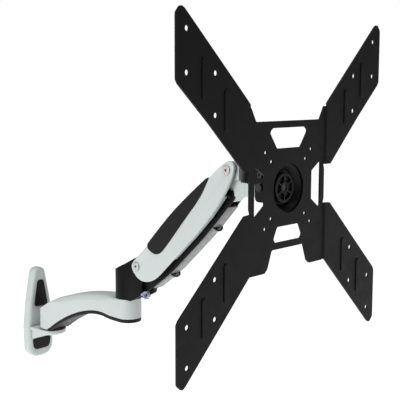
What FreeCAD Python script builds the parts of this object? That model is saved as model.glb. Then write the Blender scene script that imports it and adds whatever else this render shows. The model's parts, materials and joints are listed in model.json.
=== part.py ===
"""Full-motion TV wall mount: wall bracket, two-part gas-spring arm, tilt head and X-shaped TV plate.

Millimetres, +Z up, the TV side faces -Y. The origin is on the wall face of the wall bracket, at the
height of its middle. Every moving piece is drawn in the rest pose: both arms straight out from the
wall, the spring arm raised, the TV plate upright and square to the wall.
"""
import os
from math import cos, hypot, pi, radians, sin, tan

import FreeCAD, Part
from FreeCAD import Vector

# ---------------------------------------------------------------- driving dimensions
# wall bracket
WALL_HALF_W = 28.0          # widest half width of the teardrop plate
WALL_TOP_Z = 82.0
WALL_LOW_Z = -81.0
WALL_DEPTH = 16.0           # how far the plate stands off the wall
WALL_SKIN = 5.0             # casting thickness of the plate
LEDGE_TOP_Z = -22.0         # face that carries the first arm
LEDGE_THICK = 8.0
SCREW_PITCH = 96.0          # wall screw to wall screw, along one stud
SCREW_MID_Z = -10.0
SCREW_HOLE_R = 4.0

# vertical pivots
WALL_AXIS_OUT = 48.0        # wall face to the wall pivot
ARM_1_LENGTH = 200.0        # wall pivot to elbow pivot
ELBOW_TO_LIFT = 45.5        # elbow pivot to the lift pivot of the spring arm
POST_R = 7.0
BUSH_WALL = 1.5
RUN_GAP = 0.05              # radial clearance of a running fit

# first arm
ARM_1_R = 21.0              # barrel radius and half width
ARM_1_ROOT_LOW = -19.3
ARM_1_ELBOW_LOW = 35.0
ARM_1_TOP = 67.0
ARM_1_WALL = 3.5
COVER_1_THICK = 6.0

# elbow block
BLOCK_R = 20.5
BLOCK_TALL = 47.0           # first arm's top face to the block's shoulder
CHEEK_IN = 11.5             # inner face of each fork cheek
CHEEK_OUT = 17.8

# spring arm
LIFT_RISE = 60.7            # first arm's top face up to the lift pivot
ARM_2_LENGTH = 244.0        # pivot to pivot
ARM_2_RISE = 41.4           # degrees above level at rest
LINK_DROP = 38.5            # lower pivots hang this far below the upper pivots
LINK_SETBACK = 7.0          # and this far behind them
CHANNEL_IN = 18.2
CHANNEL_WALL = 2.3
SHELL_OUT = 25.0            # half width over the light side covers
SHELL_SKIN = 2.5
PIN_R = 4.0
PIVOT_HEAD_R = 6.7

# lower link and its cable covers
BAR_OUT = 10.2
BAR_WALL = 2.2
CABLE_SKIN = 1.6

# gas spring
SPRING_ANCHOR_DROP = 20.0   # anchor pin below the lift pivot
SPRING_TOP_BACK = 44.0      # spring head pin, measured back from the tip pivot
SPRING_TOP_H = -9.0
TUBE_R = 10.0
ROD_R = 4.0
TUBE_SHARE = 0.525          # tube length as a share of the spring's length between pins
EYE_PLAY = 3.2              # clearance of the rod eye on its anchor pin

# head
TIP_TO_HEAD = 33.5          # tip pivot to the head's vertical pivot
HUB_DROP = 20.0             # tip pivot down to the middle of the TV plate
BRACKET_R = 17.3
YOKE_R = 16.0
HEAD_TO_TILT = 23.0         # head's vertical pivot to the tilt axis
YOKE_EAR_IN = 12.5
YOKE_EAR_OUT = 16.5
TILT_CHEEK_IN = 17.0
TILT_CHEEK_OUT = 20.5
TILT_EAR_R = 8.0
LOCK_RADIUS = 17.0          # tilt lock screw above the tilt axis
TILT_HALF_RANGE = 15.0
STUD_R = 8.0

# TV plate
TILT_TO_PLATE = 32.0        # tilt axis to the front face of the plate's middle
SHEET = 2.5
WING_STEP = 2.25            # the wings stand this far in front of the middle
WING_HALF_W = 218.0
WING_TOP = 226.0
HUB_HOLE_R = 33.0
DISH_FLOOR_R = 22.5
KNOB_R = 20.5
VESA_HOLE_R = 3.5
CENTRE_HOLE_R = 2.65
VESA_WING = ((200, 200), (200, 150), (150, 150), (150, 100))
VESA_CENTRE = ((50, 50), (37.5, 37.5))

# ---------------------------------------------------------------- derived places
WALL_Y = -WALL_AXIS_OUT
ELBOW_Y = WALL_Y - ARM_1_LENGTH
LIFT_Y = ELBOW_Y - ELBOW_TO_LIFT
LIFT_Z = ARM_1_TOP + LIFT_RISE
BLOCK_TOP = ARM_1_TOP + BLOCK_TALL
RISE = radians(ARM_2_RISE)
TIP_Y = LIFT_Y - ARM_2_LENGTH * cos(RISE)
TIP_Z = LIFT_Z + ARM_2_LENGTH * sin(RISE)
SPRING_TOP_S = ARM_2_LENGTH - SPRING_TOP_BACK
HEAD_Y = TIP_Y - TIP_TO_HEAD
HUB_Z = TIP_Z - HUB_DROP
TILT_Y = HEAD_Y - HEAD_TO_TILT
PLATE_Y = TILT_Y - TILT_TO_PLATE
LEDGE_OF_HEAD_Z = HUB_Z + 3.0
BRACKET_LOW_Z = HUB_Z - 15.0

SMOOTH = 500.0              # corner radius large enough to use up both sides of a corner

PARTS = {}


def part(name, *solids):
    """Record one node: one solid, or a group of equal ones."""
    PARTS[name] = solids[0] if len(solids) == 1 else Part.makeCompound(list(solids))


# ---------------------------------------------------------------- shape helpers
def box(x0, x1, y0, y1, z0, z1):
    return Part.makeBox(x1 - x0, y1 - y0, z1 - z0, Vector(x0, y0, z0))


def rod_x(y, z, r, x0, x1):
    return Part.makeCylinder(r, x1 - x0, Vector(x0, y, z), Vector(1, 0, 0))


def rod_y(x, z, r, y0, y1):
    return Part.makeCylinder(r, y1 - y0, Vector(x, y0, z), Vector(0, 1, 0))


def rod_z(x, y, r, z0, z1):
    return Part.makeCylinder(r, z1 - z0, Vector(x, y, z0))


def ring_z(y, r_in, r_out, z0, z1):
    return rod_z(0, y, r_out, z0, z1).cut(rod_z(0, y, r_in, z0 - 1, z1 + 1))


def ring_y(z, r_in, r_out, y0, y1):
    return rod_y(0, z, r_out, y0, y1).cut(rod_y(0, z, r_in, y0 - 1, y1 + 1))


def rounded_wire(points, place):
    """Closed wire through (a, b, radius) corners; place(a, b) gives the 3D point."""
    edges = []
    arcs = []
    count = len(points)
    for i in range(count):
        a, b, r = points[i]
        corner = Vector(a, b, 0)
        before = Vector(points[i - 1][0], points[i - 1][1], 0).sub(corner)
        after = Vector(points[(i + 1) % count][0], points[(i + 1) % count][1], 0).sub(corner)
        room = 0.48 * min(before.Length, after.Length)
        before.normalize()
        after.normalize()
        half = before.getAngle(after) / 2
        if r <= 0 or half > pi / 2 - 0.005:
            arcs.append((corner, None, corner))
            continue
        reach = min(r / tan(half), room)
        bend = reach * tan(half)
        middle = before.add(after).normalize().multiply(bend / sin(half) - bend)
        arcs.append((corner.add(Vector(before).multiply(reach)), corner.add(middle),
                     corner.add(Vector(after).multiply(reach))))
    for i in range(count):
        start, middle, end = [p and place(p.x, p.y) for p in arcs[i]]
        following = arcs[(i + 1) % count][0]
        if middle:
            edges.append(Part.Arc(start, middle, end).toShape())
        following = place(following.x, following.y)
        if end.distanceToPoint(following) > 1e-4:
            edges.append(Part.makeLine(end, following))
    return Part.Wire(edges)


def between(first, second, share):
    """Point (a, b) at a share of the way from one outline corner to another."""
    return (first[0] + share * (second[0] - first[0]), first[1] + share * (second[1] - first[1]))


def eased(points):
    """Closed outline (a, b, radius) with every corner cut in two, so that it runs in one smooth curve."""
    cut = []
    for i, corner in enumerate(points):
        cut.append((*between(corner, points[i - 1], 0.25), SMOOTH))
        cut.append((*between(corner, points[(i + 1) % len(points)], 0.25), SMOOTH))
    return cut


def eased_line(points):
    """Open line of (a, b) points with its inner corners cut in two; the ends stay."""
    cut = [points[0]]
    for before, corner, after in zip(points, points[1:], points[2:]):
        cut.append(between(corner, before, 0.25))
        cut.append(between(corner, after, 0.25))
    return cut + [points[-1]]


def side_plate(points, x0, x1, place=lambda y, z: (y, z)):
    """Plate with a side-view outline, from x0 to x1."""
    wire = rounded_wire(points, lambda a, b: Vector(x0, *place(a, b)))
    return Part.Face(wire).extrude(Vector(x1 - x0, 0, 0))


def front_plate(points, y0, y1):
    """Plate with a front-view outline in x and z, from y0 to y1."""
    wire = rounded_wire(points, lambda a, b: Vector(a, y0, b))
    return Part.Face(wire).extrude(Vector(0, y1 - y0, 0))


def mirrored(shape):
    return shape.mirror(Vector(0, 0, 0), Vector(1, 0, 0))


def along_arm(s, h):
    """Side-view point s along the spring arm from the lift pivot, h above its pivot line."""
    return (LIFT_Y - s * cos(RISE) + h * sin(RISE), LIFT_Z + s * sin(RISE) + h * cos(RISE))


def fillet(shape, radius, wanted):
    """Round the edges for which wanted(edge) is true."""
    edges = [e for e in shape.Edges if wanted(e)]
    return shape.makeFillet(radius, edges) if edges else shape


def on_plane(edge, axis, value, tolerance=0.01):
    """True where the whole edge lies at one x, y or z."""
    low = getattr(edge.BoundBox, axis + "Min")
    high = getattr(edge.BoundBox, axis + "Max")
    return abs(low - value) < tolerance and abs(high - value) < tolerance


def socket_screw_x(y, z, head_r, head_x0, head_x1, hex_r=2.2, hex_deep=2.0):
    """Screw head on an x axis, with its hexagon socket in the face at head_x1."""
    head = rod_x(y, z, head_r, min(head_x0, head_x1), max(head_x0, head_x1))
    outward = 1 if head_x1 > head_x0 else -1
    points = [Vector(head_x1, y + hex_r * cos(k * pi / 3), z + hex_r * sin(k * pi / 3)) for k in range(7)]
    socket = Part.Face(Part.makePolygon(points)).extrude(Vector(-outward * hex_deep, 0, 0))
    head = head.cut(socket)
    return fillet(head, 0.6, lambda e: on_plane(e, "X", head_x1) and e.BoundBox.ZLength > 1.5 * head_r)


# ---------------------------------------------------------------- wall bracket
def teardrop(inset=0.0):
    """Front-view outline of the wall plate: a narrow rounded top that widens to a round foot."""
    wide = WALL_HALF_W - inset
    top = WALL_TOP_Z - inset
    low = WALL_LOW_Z + inset
    shoulder = 11.0 - inset * 0.6
    return [(-shoulder, top, shoulder - 1), (shoulder, top, shoulder - 1),
            (wide - 5.5, 24.0, 60.0), (wide, -22.0, 60.0),
            (wide - 1.5, low, wide - 6), (1.5 - wide, low, wide - 6),
            (-wide, -22.0, 60.0), (5.5 - wide, 24.0, 60.0)]


UPPER_COVER = [(-6.5, 60, 5), (6.5, 60, 5), (15, 13, 5), (-15, 13, 5)]
LOWER_COVER = [(-20, -46, 3), (20, -46, 3), (17, -66, 9), (-17, -66, 9)]


def grown(points, by):
    """The same outline with every corner moved outward from the outline's middle."""
    middle_x = sum(p[0] for p in points) / len(points)
    middle_z = sum(p[1] for p in points) / len(points)
    moved = []
    for a, b, r in points:
        moved.append((a + by * (1 if a > middle_x else -1), b + by * (1 if b > middle_z else -1), r + by))
    return moved


def screw_places():
    return [SCREW_MID_Z + SCREW_PITCH / 2, SCREW_MID_Z - SCREW_PITCH / 2]


def wall_bracket():
    front = -WALL_DEPTH
    plate = front_plate(teardrop(), front, 0)
    plate = fillet(plate, 6.0, lambda e: on_plane(e, "Y", front))
    ledge_low = LEDGE_TOP_Z - LEDGE_THICK
    nose = ARM_1_R + 3.0
    bevel = 2.5
    ledge = rod_z(0, WALL_Y, nose, ledge_low + bevel, LEDGE_TOP_Z)
    ledge = ledge.fuse(box(-nose, nose, WALL_Y, -2, ledge_low + bevel, LEDGE_TOP_Z))
    under = Part.makeCone(nose - bevel, nose, bevel, Vector(0, WALL_Y, ledge_low))
    ledge = ledge.fuse(under)
    web = [(-4, LEDGE_TOP_Z - 1, 0), (WALL_Y - 8, LEDGE_TOP_Z - 1, 0), (WALL_Y - 8, ledge_low, 0),
           (-WALL_DEPTH - 4, ledge_low - 13, 20), (-4, ledge_low - 16, 0)]
    ledge = ledge.fuse(side_plate(web, bevel - nose, nose - bevel)).removeSplitter()
    solid = plate.fuse(ledge)
    for outline in (UPPER_COVER, LOWER_COVER):
        solid = solid.cut(front_plate(grown(outline, 0.25), front - 1, -WALL_SKIN))
    for z in screw_places():
        solid = solid.cut(rod_y(0, z, SCREW_HOLE_R, -WALL_SKIN - 1, 1))
    solid = solid.cut(rod_z(0, WALL_Y, POST_R, ledge_low - 1, LEDGE_TOP_Z + 1))
    return solid.removeSplitter()


def wall_cover(outline):
    """Snap-in cap over one wall screw, hollow behind for the screw's head."""
    front = -WALL_DEPTH - 1.5
    cap = front_plate(outline, front, -WALL_SKIN)
    cap = fillet(cap, 1.4, lambda e: on_plane(e, "Y", front))
    hollow = [(a * 0.78, b, r) for a, b, r in grown(outline, -2.4)]
    return cap.cut(front_plate([(a, b, max(r, 1.5)) for a, b, r in hollow], front + 2.5, 0))


def make_wall():
    part("wall_bracket", wall_bracket())
    part("upper_screw_cover", wall_cover(UPPER_COVER))
    part("lower_screw_cover", wall_cover(LOWER_COVER))
    post_top = ARM_1_ROOT_LOW + 26.0
    post = rod_z(0, WALL_Y, POST_R, LEDGE_TOP_Z - LEDGE_THICK + 2, post_top)
    post = post.cut(rod_z(0, WALL_Y, 2.5, post_top - 14, post_top + 1))
    part("wall_pivot_post", post)
    part("wall_thrust_washer", ring_z(WALL_Y, POST_R + 0.1, 17.5, LEDGE_TOP_Z, ARM_1_ROOT_LOW - 0.1))
    part("wall_pivot_washer", ring_z(WALL_Y, 2.6, 11.5, post_top, post_top + 1.6))
    head = rod_z(0, WALL_Y, 5.2, post_top + 1.6, post_top + 5.0)
    shank = rod_z(0, WALL_Y, 2.5, post_top - 13, post_top + 1.6)
    socket = rod_z(0, WALL_Y, 2.0, post_top + 2.6, post_top + 6)
    part("wall_pivot_screw", head.fuse(shank).cut(socket))


# ---------------------------------------------------------------- first arm
ELBOW_RECESS_R = 13.0


def along_arm_1(share):
    """y at a share of the way from the wall pivot to the elbow pivot."""
    return WALL_Y - share * ARM_1_LENGTH


ARM_1_TOP_LINE = [(WALL_Y + ARM_1_R + 2, 9.0), (along_arm_1(0.02), 22.0), (along_arm_1(0.16), 40.0),
                  (along_arm_1(0.34), 51.5), (along_arm_1(0.525), 60.5), (along_arm_1(0.7), 65.5),
                  (along_arm_1(0.825), ARM_1_TOP)]
ARM_1_TOP_LINE = eased_line(ARM_1_TOP_LINE)
ARM_1_LOW_LINE = [(ELBOW_Y + 24, 36.0), (along_arm_1(0.78), 39.5), (along_arm_1(0.65), 37.5),
                  (along_arm_1(0.475), 27.5), (along_arm_1(0.3), 11.5), (along_arm_1(0.17), -4.0),
                  (WALL_Y - 19, -14.5)]
ARM_1_LOW_LINE = eased_line(ARM_1_LOW_LINE)


def arm_1_side(low_offset=0.0, top_offset=0.0):
    """Swan-neck side outline, shifted inwards by the two offsets."""
    points = [(WALL_Y + ARM_1_R + 2, ARM_1_ROOT_LOW + low_offset, 0)]
    points += [(y, z - top_offset, SMOOTH) for y, z in ARM_1_TOP_LINE]
    points[1] = (ARM_1_TOP_LINE[0][0], ARM_1_TOP_LINE[0][1] - top_offset, 0)
    points += [(ELBOW_Y - ARM_1_R - 2, ARM_1_TOP - top_offset, 0)]
    points += [(ELBOW_Y - ARM_1_R - 2, ARM_1_ELBOW_LOW + low_offset, 0)]
    points += [(y, z + low_offset, SMOOTH) for y, z in ARM_1_LOW_LINE]
    points += [(WALL_Y - 10, ARM_1_ROOT_LOW + low_offset, 6)]
    return points


def arm_1_plan(radius, z0, z1):
    """Plan view of the arm: a straight bar with round ends."""
    bar = box(-radius, radius, ELBOW_Y, WALL_Y, z0, z1)
    return bar.fuse([rod_z(0, WALL_Y, radius, z0, z1), rod_z(0, ELBOW_Y, radius, z0, z1)]).removeSplitter()


def arm_1_casting():
    wide = ARM_1_R + 2
    solid = side_plate(arm_1_side(), -wide, wide).common(arm_1_plan(ARM_1_R, -40, 90))
    inner = arm_1_plan(ARM_1_R - ARM_1_WALL, -40, 90)
    hollow = side_plate(arm_1_side(-8.0, ARM_1_WALL), -wide, wide).common(inner)
    root = rod_z(0, WALL_Y, POST_R + BUSH_WALL + 4, -40, 90)
    elbow = rod_z(0, ELBOW_Y, POST_R + BUSH_WALL + 4, -40, 90)
    hollow = hollow.common(box(-wide, wide, ELBOW_Y - wide, WALL_Y - 15, -40, 90))
    solid = solid.cut(hollow.cut(root).cut(elbow))
    solid = solid.cut(rod_z(0, WALL_Y, POST_R + BUSH_WALL, -40, 60))
    solid = solid.cut(rod_z(0, ELBOW_Y, POST_R + BUSH_WALL, 0, 90))
    # room for the retaining screw and the cap over the wall pivot
    solid = solid.cut(rod_z(0, WALL_Y, 13.0, root_bush_top(), 90))
    # room for the retaining nut under the elbow
    solid = solid.cut(rod_z(0, ELBOW_Y, ELBOW_RECESS_R, 0, ARM_1_ELBOW_LOW + 6.0))
    return solid.removeSplitter()


def root_bush_top():
    return ARM_1_ROOT_LOW + 25.0


def arm_1_bottom_cover():
    """Black cable cover that closes the arm from below, as thick as COVER_1_THICK."""
    wide = ARM_1_R + 2
    lower = [(y, z - COVER_1_THICK, SMOOTH) for y, z in ARM_1_LOW_LINE]
    upper = [(y, z, SMOOTH) for y, z in reversed(ARM_1_LOW_LINE)]
    heel = WALL_Y - 12.5
    front = ELBOW_Y - ARM_1_R - 2
    outline = [(front, ARM_1_ELBOW_LOW - COVER_1_THICK, 0)] + lower
    outline += [(heel, ARM_1_ROOT_LOW - 2.4, 3), (heel, ARM_1_ROOT_LOW, 0),
                (WALL_Y - 17, ARM_1_ROOT_LOW, 0)]
    outline += upper + [(front, ARM_1_ELBOW_LOW, 0)]
    solid = side_plate(outline, -wide, wide).common(arm_1_plan(ARM_1_R - 0.4, -60, 90))
    solid = solid.cut(rod_z(0, ELBOW_Y, ELBOW_RECESS_R, ARM_1_ELBOW_LOW - 1, 90))
    return solid.cut(rod_z(0, WALL_Y, 18.5, -60, 0))


def root_cap():
    """Black wedge-shaped lid over the wall pivot, on the sloping top of the arm's root."""
    thick = 2.4
    seat = 0.2
    heel, knee = ARM_1_TOP_LINE[:2]
    end = (WALL_Y - 14.0, ARM_1_TOP_LINE[2][1] + 2.2)
    outline = [(*heel, 0), (knee[0], knee[1] + seat, 0), (end[0], end[1] + seat, 0),
               (end[0], end[1] + seat + 1.0, 0), (knee[0], knee[1] + thick, 0), (heel[0], heel[1] + thick, 0)]
    lid = side_plate(outline, -ARM_1_R, ARM_1_R).common(arm_1_plan(ARM_1_R - 0.8, -40, 90))
    under = [(heel[0], 0, 0), (heel[0], heel[1] + 0.8, 0), (knee[0], knee[1] + seat + 0.8, 0),
             (end[0], end[1] + seat + 0.5, 0), (end[0], 0, 0)]
    plug = rod_z(0, WALL_Y, 12.8, ARM_1_ROOT_LOW + 33.5, 90).common(side_plate(under, -20, 20))
    return lid.fuse(plug).removeSplitter()


COVER_SCREWS_1 = ((WALL_Y - 46, 4.0), (ELBOW_Y + 26, 31.0))


def make_arm_1():
    screws = [rod_z(0, y, 3.2, z - 6.0, z) for y, z in COVER_SCREWS_1]
    cover = arm_1_bottom_cover()
    for screw in screws:
        cover = cover.cut(screw)
    part("arm_1_casting", arm_1_casting())
    part("arm_1_cable_cover", cover)
    part("arm_1_cover_screws", *[screw.common(arm_1_bottom_cover()) for screw in screws])
    part("arm_1_root_cap", root_cap())
    bush_r = POST_R + BUSH_WALL
    low = ARM_1_ROOT_LOW
    part("wall_pivot_bushes", ring_z(WALL_Y, POST_R + RUN_GAP, bush_r, low, low + 9),
         ring_z(WALL_Y, POST_R + RUN_GAP, bush_r, root_bush_top() - 9, root_bush_top()))
    part("elbow_bushes", ring_z(ELBOW_Y, POST_R + RUN_GAP, bush_r, ARM_1_TOP - 9, ARM_1_TOP),
         ring_z(ELBOW_Y, POST_R + RUN_GAP, bush_r, ARM_1_ELBOW_LOW + 6, ARM_1_ELBOW_LOW + 15))


# ---------------------------------------------------------------- elbow
BLOCK_LOW = ARM_1_TOP + 0.4
LINK_Y = LIFT_Y + LINK_SETBACK
LINK_Z = LIFT_Z - LINK_DROP
ANCHOR_Z = LIFT_Z - SPRING_ANCHOR_DROP
SCREW_Y = LIFT_Y + 20.0
SHAFT_TOP = ARM_1_TOP + 35.0
ELBOW_NUT_LOW = ARM_1_ELBOW_LOW + 0.4
CARRIAGE_HALF = 7.6
ANCHOR_PIN_R = 3.0
WASHER_SEAT = ARM_1_ELBOW_LOW + 6.0
LINK_PIN_REACH = CHEEK_OUT - 1.2


def elbow_outline():
    return [(ELBOW_Y + BLOCK_R + 1, BLOCK_LOW, 0), (ELBOW_Y + BLOCK_R + 1, BLOCK_TOP - 3, 7),
            (ELBOW_Y + 6, BLOCK_TOP + 3, 20), (LIFT_Y + 9, LIFT_Z + 11.5, 1.5),
            (LIFT_Y - 5, LIFT_Z + 10.5, 7),
            (LIFT_Y - 10.5, LIFT_Z, 7), (LIFT_Y - 9, LIFT_Z - 14, 12), (LINK_Y - 10, LINK_Z + 6, 12),
            (LINK_Y - 9.5, LINK_Z - 9, 8), (LINK_Y + 6, LINK_Z - 17, 4),
            (ELBOW_Y - BLOCK_R - 3, BLOCK_LOW, 2)]


def elbow_block():
    wide = BLOCK_R + 2
    barrel = rod_z(0, ELBOW_Y, BLOCK_R, BLOCK_LOW, LIFT_Z + 20)
    fork = box(-CHEEK_OUT, CHEEK_OUT, LIFT_Y - 20, ELBOW_Y, BLOCK_LOW, LIFT_Z + 20)
    solid = barrel.fuse(fork).common(side_plate(elbow_outline(), -wide, wide))
    slot_back = ELBOW_Y - 17.0
    slot = box(-CHEEK_IN, CHEEK_IN, LIFT_Y - 30, slot_back, BLOCK_LOW - 1, LIFT_Z + 30)
    bridge = box(-CHEEK_IN, CHEEK_IN, SCREW_Y - 8, slot_back, LIFT_Z - 11, LIFT_Z - 5)
    solid = solid.cut(slot.cut(bridge))
    solid = solid.cut(rod_z(0, SCREW_Y, 3.3, LIFT_Z - 12, LIFT_Z))
    solid = solid.cut(rod_z(0, ELBOW_Y, POST_R, BLOCK_LOW - 1, SHAFT_TOP))
    solid = solid.cut(rod_z(0, ELBOW_Y, 18.2, BLOCK_LOW - 1, BLOCK_LOW + 1.6))
    solid = solid.cut(rod_x(LIFT_Y, LIFT_Z, PIN_R + 1.2, -wide, wide))
    solid = solid.cut(rod_x(LINK_Y, LINK_Z, PIN_R - 1, -LINK_PIN_REACH, LINK_PIN_REACH))
    return solid.removeSplitter()


def cable_loop():
    """Translucent nylon clip that stands out in front of the left cheek's lower corner."""
    y = LINK_Y - 19.0
    z = LINK_Z - 7.0
    loop = rod_x(y, z, 6.3, 0, 5.4)
    tab = box(0, 5.4, y, LINK_Y - 5.6, z - 2.0, z + 2.0)
    notch = box(-1, 7, y - 8, y - 3, z - 5, z - 2.4)
    loop = loop.fuse(tab).cut(rod_x(y, z, 4.7, -1, 7)).cut(notch)
    loop.translate(Vector(-17.4, 0, 0))
    return loop


def hexagon_z(y, across, z0, z1):
    r = across / 2 / cos(pi / 6)
    points = [Vector(r * cos(k * pi / 3), y + r * sin(k * pi / 3), z0) for k in range(7)]
    return Part.Face(Part.makePolygon(points)).extrude(Vector(0, 0, z1 - z0))


def tension_carriage():
    """Block that carries the spring's anchor pin up and down on the tension screw."""
    back = SCREW_Y - 5.5
    outline = [(LIFT_Y - 7, ANCHOR_Z - 6.5, 6), (SCREW_Y + 4.5, ANCHOR_Z - 6.5, 1),
               (SCREW_Y + 4.5, ANCHOR_Z + 6.5, 1), (LIFT_Y - 7, ANCHOR_Z + 6.5, 6)]
    arms = side_plate(outline, -CARRIAGE_HALF, CARRIAGE_HALF)
    arms = arms.cut(box(-5.4, 5.4, LIFT_Y - 20, back, ANCHOR_Z - 20, ANCHOR_Z + 20))
    guide = box(-CHEEK_IN + 0.3, CHEEK_IN - 0.3, back, SCREW_Y + 4.5, ANCHOR_Z - 6.5, ANCHOR_Z + 6.5)
    arms = arms.fuse(guide).removeSplitter()
    arms = arms.cut(rod_x(LIFT_Y, ANCHOR_Z, ANCHOR_PIN_R, -20, 20))
    return arms.cut(rod_z(0, SCREW_Y, ANCHOR_PIN_R, ANCHOR_Z - 20, ANCHOR_Z + 20))


def make_elbow():
    block = elbow_block()
    loop = cable_loop()
    part("elbow_block", block)
    part("elbow_cable_clip", loop.cut(block))
    shaft = rod_z(0, ELBOW_Y, POST_R, WASHER_SEAT, SHAFT_TOP)
    part("elbow_shaft", shaft.fuse(rod_z(0, ELBOW_Y, 5.0, ELBOW_NUT_LOW, WASHER_SEAT)).removeSplitter())
    part("elbow_thrust_washer", ring_z(ELBOW_Y, POST_R + 0.1, 18.0, ARM_1_TOP + 0.05, BLOCK_LOW + 1.6))
    part("elbow_washer", ring_z(ELBOW_Y, 5.1, 11.5, WASHER_SEAT - 1.7, WASHER_SEAT - 0.1))
    nut = hexagon_z(ELBOW_Y, 16.0, ELBOW_NUT_LOW, WASHER_SEAT - 1.7)
    part("elbow_nut", nut.cut(rod_z(0, ELBOW_Y, 5.0, 0, 90)))
    part("tension_carriage", tension_carriage())
    seat = LIFT_Z - 5
    screw = rod_z(0, SCREW_Y, 3.0, ANCHOR_Z - 14, seat).fuse(rod_z(0, SCREW_Y, 5.0, seat, seat + 5))
    socket = hexagon_z(SCREW_Y, 4.0, seat + 2, seat + 6)
    part("tension_screw", screw.cut(socket).removeSplitter())
    part("spring_anchor_pin", rod_x(LIFT_Y, ANCHOR_Z, ANCHOR_PIN_R, -CARRIAGE_HALF, CARRIAGE_HALF))
    bush = [ring_x(LIFT_Y, LIFT_Z, PIN_R + RUN_GAP, PIN_R + 1.2, x, x + CHEEK_OUT - CHEEK_IN)
            for x in (-CHEEK_OUT, CHEEK_IN)]
    part("lift_pivot_bushes", *bush)
    part("lower_link_rear_pin", rod_x(LINK_Y, LINK_Z, PIN_R - 1, -LINK_PIN_REACH, LINK_PIN_REACH))


def ring_x(y, z, r_in, r_out, x0, x1):
    return rod_x(y, z, r_out, x0, x1).cut(rod_x(y, z, r_in, x0 - 1, x1 + 1))


# ---------------------------------------------------------------- spring arm
DRAWN_LENGTH = 244.0         # pivot distance for which the outlines below are given


def stretched(points):
    """Side outline with its middle lengthened or shortened to suit ARM_2_LENGTH."""
    extra = ARM_2_LENGTH - DRAWN_LENGTH
    return [(s + extra * max(0.0, min(1.0, (s - 60.0) / 130.0)), h, r) for s, h, r in points]


COVER_OUTLINE = [(-8, 9.5, 9), (-12.5, 0, 8), (-11, -18, 14), (2, -32, 16), (22, -38, 14), (50, -37, 20),
                 (128, -35, 30), (170, -32, 30), (200, -28, 30), (226, -21, 30), (248, -13, 12),
                 (260, -4, 8),
                 (256, 8, 4), (244, 11, 8), (210, 12.5, 20), (100, 11, 60), (10, 10.6, 60)]
COVER_OUTLINE = eased(stretched(COVER_OUTLINE))
GRIP_OUTLINE = [(38.5, 11.5, 2), (45, -8, 10), (57, -15, 8), (76, -13.5, 20), (126, -6.5, 60), (178, 0, 30),
                (203, 8.5, 12), (216, 13.8, 0.5), (174, 16.5, 40), (121, 18, 60), (62, 14, 20)]
GRIP_OUTLINE = eased(stretched(GRIP_OUTLINE))
GRIP_PROUD = 1.4


def arm_channel():
    out = CHANNEL_IN + CHANNEL_WALL
    sides = side_plate([(-11, 8, 9), (-11, -11, 9), (30, -14, 20), (ARM_2_LENGTH - 39, -14, 20),
                        (ARM_2_LENGTH + 11, -10, 9), (ARM_2_LENGTH + 11, 8, 9)], -out, out, along_arm)
    inside = side_plate([(-30, 5.7, 0), (-30, -40, 0), (290, -40, 0), (290, 5.7, 0)],
                        -CHANNEL_IN, CHANNEL_IN, along_arm)
    solid = sides.cut(inside)
    for s0, s1 in ((-30, 16), (ARM_2_LENGTH - 17, 290)):
        end = side_plate([(s0, 40, 0), (s0, -40, 0), (s1, -40, 0), (s1, 40, 0)], -CHANNEL_IN, CHANNEL_IN,
                         along_arm)
        solid = solid.cut(end)
    for s, h, r in ((0, 0, PIN_R), (ARM_2_LENGTH, 0, PIN_R), (SPRING_TOP_S, SPRING_TOP_H, 3.5)):
        y, z = along_arm(s, h)
        solid = solid.cut(rod_x(y, z, r, -30, 30))
    return solid.removeSplitter()


def side_cover():
    """Right-hand side shell of the spring arm."""
    inner = CHANNEL_IN + CHANNEL_WALL + 0.3
    shell = side_plate(COVER_OUTLINE, inner, SHELL_OUT, along_arm)
    shell = fillet(shell, 1.6, lambda e: on_plane(e, "X", SHELL_OUT))
    wire = rounded_wire(COVER_OUTLINE, lambda a, b: Vector(inner - 1, *along_arm(a, b)))
    hollow = Part.Face(wire).makeOffset2D(-SHELL_SKIN)
    shell = shell.cut(hollow.extrude(Vector(SHELL_OUT - SHELL_SKIN - inner + 1, 0, 0)))
    top = [(24, 8.7, 0), (224, 8.7, 0), (224, 11.6, 0), (210, 12.2, 20), (100, 10.8, 60), (24, 10.0, 0)]
    shell = shell.fuse(side_plate(stretched(top), 0.1, inner + 1, along_arm))
    low = [(70, -35.0, 0), (128, -33.4, 30), (170, -30.4, 30), (212, -23.4, 0),
           (212, -21.2, 0), (170, -28.2, 30), (128, -31.2, 30), (70, -32.8, 0)]
    shell = shell.fuse(side_plate(stretched(low), 12.6, inner + 1, along_arm))
    for s in (0, ARM_2_LENGTH):
        y, z = along_arm(s, 0)
        shell = shell.cut(rod_x(y, z, PIN_R + 0.3, 0, 30))
    return shell.removeSplitter()


def grip_saddle():
    """Soft black grip that wraps over the top edge of both covers."""
    wide = SHELL_OUT + GRIP_PROUD
    solid = side_plate(GRIP_OUTLINE, -wide, wide, along_arm)
    solid = fillet(solid, 1.0, lambda e: on_plane(e, "X", wide) or on_plane(e, "X", -wide))
    under = [(0, -60, 0), (0, 10.8, 0), (24, 10.8, 0), (100, 11.6, 60), (210, 12.9, 20), (230, 12.9, 0),
             (230, -60, 0)]
    return solid.cut(side_plate(stretched(under), -SHELL_OUT, SHELL_OUT, along_arm))


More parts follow.
